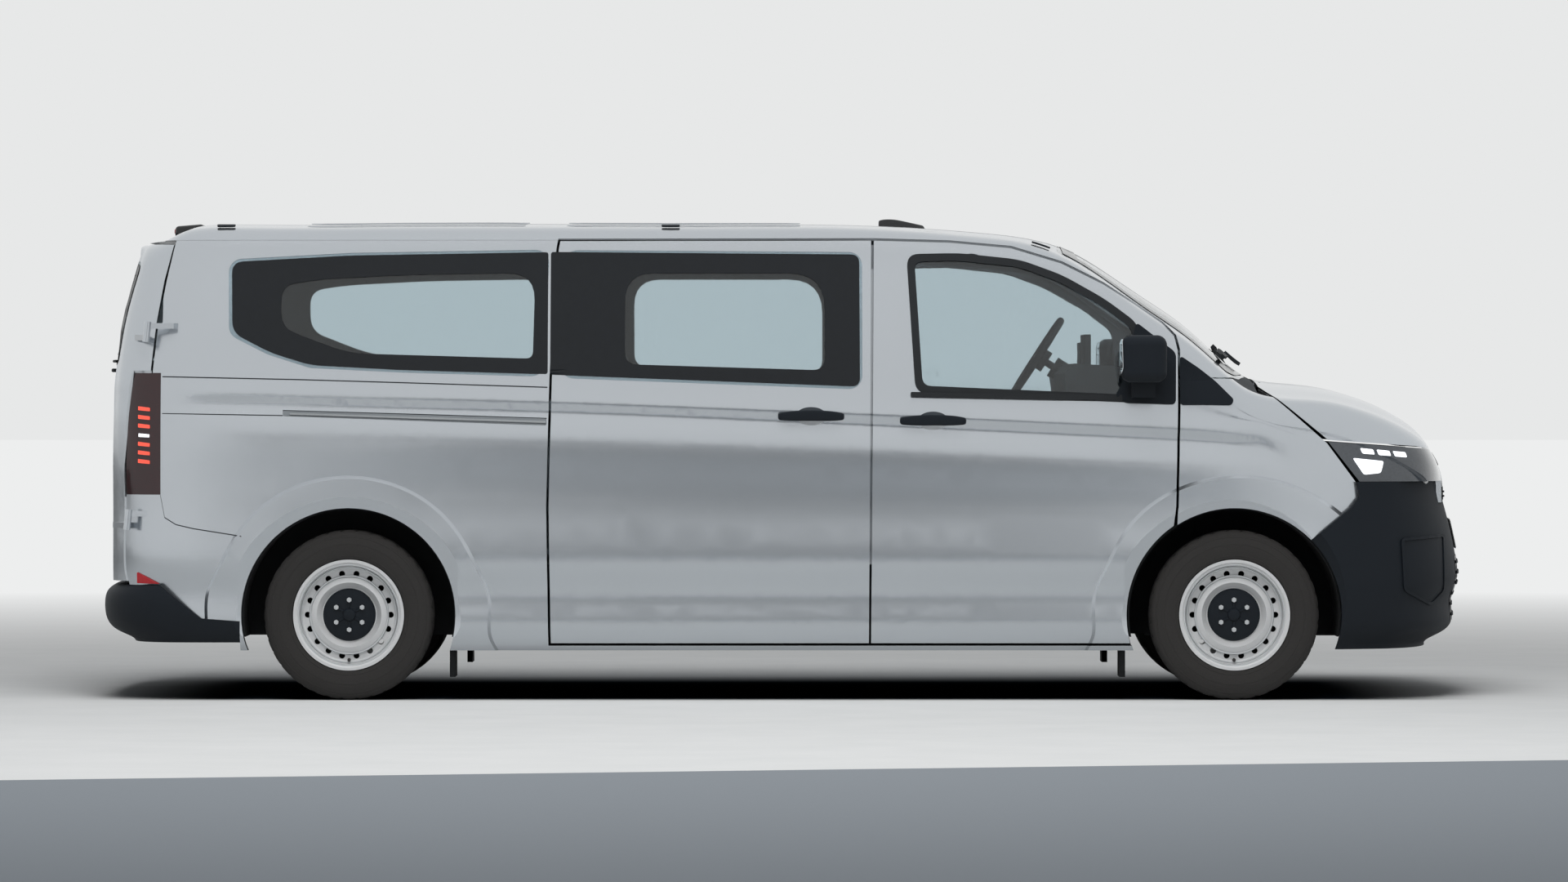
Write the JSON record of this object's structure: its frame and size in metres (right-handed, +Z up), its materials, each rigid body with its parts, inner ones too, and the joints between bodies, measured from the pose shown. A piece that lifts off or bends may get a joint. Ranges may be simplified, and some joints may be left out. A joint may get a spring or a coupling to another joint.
{
  "type": "minibus",
  "caption": "Long panel-sided minibus with seats in front, a rear bench, one sliding side door, two rear wing doors and steel wheels; doors, bonnet, wheels and steering move.",
  "frame": {"origin": "on the ground under the middle of the vehicle's bounding box", "axes": "+X to the front of the vehicle, +Y to its left, +Z up"},
  "size_m": [5.47, 2.46, 1.8999],
  "materials": {
    "body_paint": "silver-grey metallic paint, gloss clear coat",
    "chassis_steel": "black chassis coating, satin",
    "dark_plastic": "dark grey grained plastic",
    "lamp_plastic": "clear lamp cover over a dark housing",
    "red_lamp_plastic": "dark red lamp cover, gloss",
    "window_glass": "lightly tinted safety glass",
    "cabin_plastic": "dark soft-touch plastic",
    "seat_fabric": "dark woven seat cloth",
    "engine_metal": "plain engine block",
    "exhaust_steel": "dull steel",
    "flap_rubber": "black rubber sheet",
    "rim_steel": "silver painted pressed steel",
    "tyre_rubber": "black tyre rubber"
  },
  "bodies": {
    "body": {"floor": "chassis_steel", "roof": "body_paint", "side_left": "body_paint", "side_right": "body_paint", "fenders": "body_paint", "cowl": "chassis_steel", "bumper_front": "dark_plastic", "bumper_rear": "dark_plastic", "grille": "dark_plastic", "headlamps": "lamp_plastic", "tail_lamps": "red_lamp_plastic", "windscreen": "window_glass", "side_glass_fixed": "window_glass", "sliding_door": "body_paint", "sliding_door_glass": "window_glass", "dashboard": "cabin_plastic", "seats_front": "seat_fabric", "seat_bench": "seat_fabric", "engine": "engine_metal", "subframe": "chassis_steel", "axle_rear": "chassis_steel", "wheel_liners": "dark_plastic", "mud_flaps": "flap_rubber", "fuel_tank": "chassis_steel", "exhaust": "exhaust_steel"},
    "bonnet": {"bonnet": "body_paint"},
    "steering_wheel": {"steering_wheel": "cabin_plastic"},
    "front_door_left": {"door_front_left": "body_paint", "glass_front_left": "window_glass", "mirror_left": "dark_plastic"},
    "rear_door_left": {"door_rear_left": "body_paint", "glass_rear_left": "window_glass"},
    "knuckle_left": {"knuckle_left": "chassis_steel"},
    "front_wheel_left": {"rim_front_left": "rim_steel", "tyre_front_left": "tyre_rubber"},
    "rear_wheel_left": {"rim_rear_left": "rim_steel", "tyre_rear_left": "tyre_rubber"},
    "front_door_right": {"door_front_right": "body_paint", "glass_front_right": "window_glass", "mirror_right": "dark_plastic"},
    "rear_door_right": {"door_rear_right": "body_paint", "glass_rear_right": "window_glass"},
    "knuckle_right": {"knuckle_right": "chassis_steel"},
    "front_wheel_right": {"rim_front_right": "rim_steel", "tyre_front_right": "tyre_rubber"},
    "rear_wheel_right": {"rim_rear_right": "rim_steel", "tyre_rear_right": "tyre_rubber"}
  },
  "joints": [
    {"name": "front_door_right_hinge", "type": "hinge", "parent": "body", "child": "front_door_right", "pos_m": [1.48001, -0.973, 0.90003], "axis": [0, 0.0314, 0.9995], "range_deg": [0, 68]},
    {"name": "rear_door_right_hinge", "type": "hinge", "parent": "body", "child": "rear_door_right", "pos_m": [-2.59022, -0.98497, 0.71402], "axis": [0.1012, 0, 0.9949], "range_deg": [0, 180]},
    {"name": "steer_right", "type": "hinge", "parent": "body", "child": "knuckle_right", "pos_m": [1.78, -0.75, 0.336], "axis": [0, 0, 1], "range_deg": [-35, 35]},
    {"name": "front_wheel_right_spin", "type": "hinge", "parent": "knuckle_right", "child": "front_wheel_right", "pos_m": [1.78, -0.87, 0.336], "axis": [0, 1, 0], "continuous": true},
    {"name": "rear_wheel_right_spin", "type": "hinge", "parent": "body", "child": "rear_wheel_right", "pos_m": [-1.72, -0.87, 0.336], "axis": [0, 1, 0], "continuous": true},
    {"name": "front_door_left_hinge", "type": "hinge", "parent": "body", "child": "front_door_left", "pos_m": [1.48001, 0.973, 0.90003], "axis": [0, -0.0314, 0.9995], "range_deg": [-68, 0]},
    {"name": "rear_door_left_hinge", "type": "hinge", "parent": "body", "child": "rear_door_left", "pos_m": [-2.59022, 0.98497, 0.71402], "axis": [0.1012, 0, 0.9949], "range_deg": [-180, 0]},
    {"name": "steer_left", "type": "hinge", "parent": "body", "child": "knuckle_left", "pos_m": [1.78, 0.75, 0.336], "axis": [0, 0, 1], "range_deg": [-35, 35]},
    {"name": "front_wheel_left_spin", "type": "hinge", "parent": "knuckle_left", "child": "front_wheel_left", "pos_m": [1.78, 0.87, 0.336], "axis": [0, 1, 0], "continuous": true},
    {"name": "rear_wheel_left_spin", "type": "hinge", "parent": "body", "child": "rear_wheel_left", "pos_m": [-1.72, 0.87, 0.336], "axis": [0, 1, 0], "continuous": true},
    {"name": "bonnet_hinge", "type": "hinge", "parent": "body", "child": "bonnet", "pos_m": [1.905, 0, 1.25001], "axis": [0, -1, 0], "range_deg": [0, 55]},
    {"name": "steering_wheel_turn", "type": "hinge", "parent": "body", "child": "steering_wheel", "pos_m": [1.04614, 0.4, 1.36306], "axis": [0.8387, 0, -0.5446], "range_deg": [-540, 540]}
  ],
  "couplings": [
    {"joint": "steer_left", "follows": "steer_right", "ratio": 1}
  ]
}
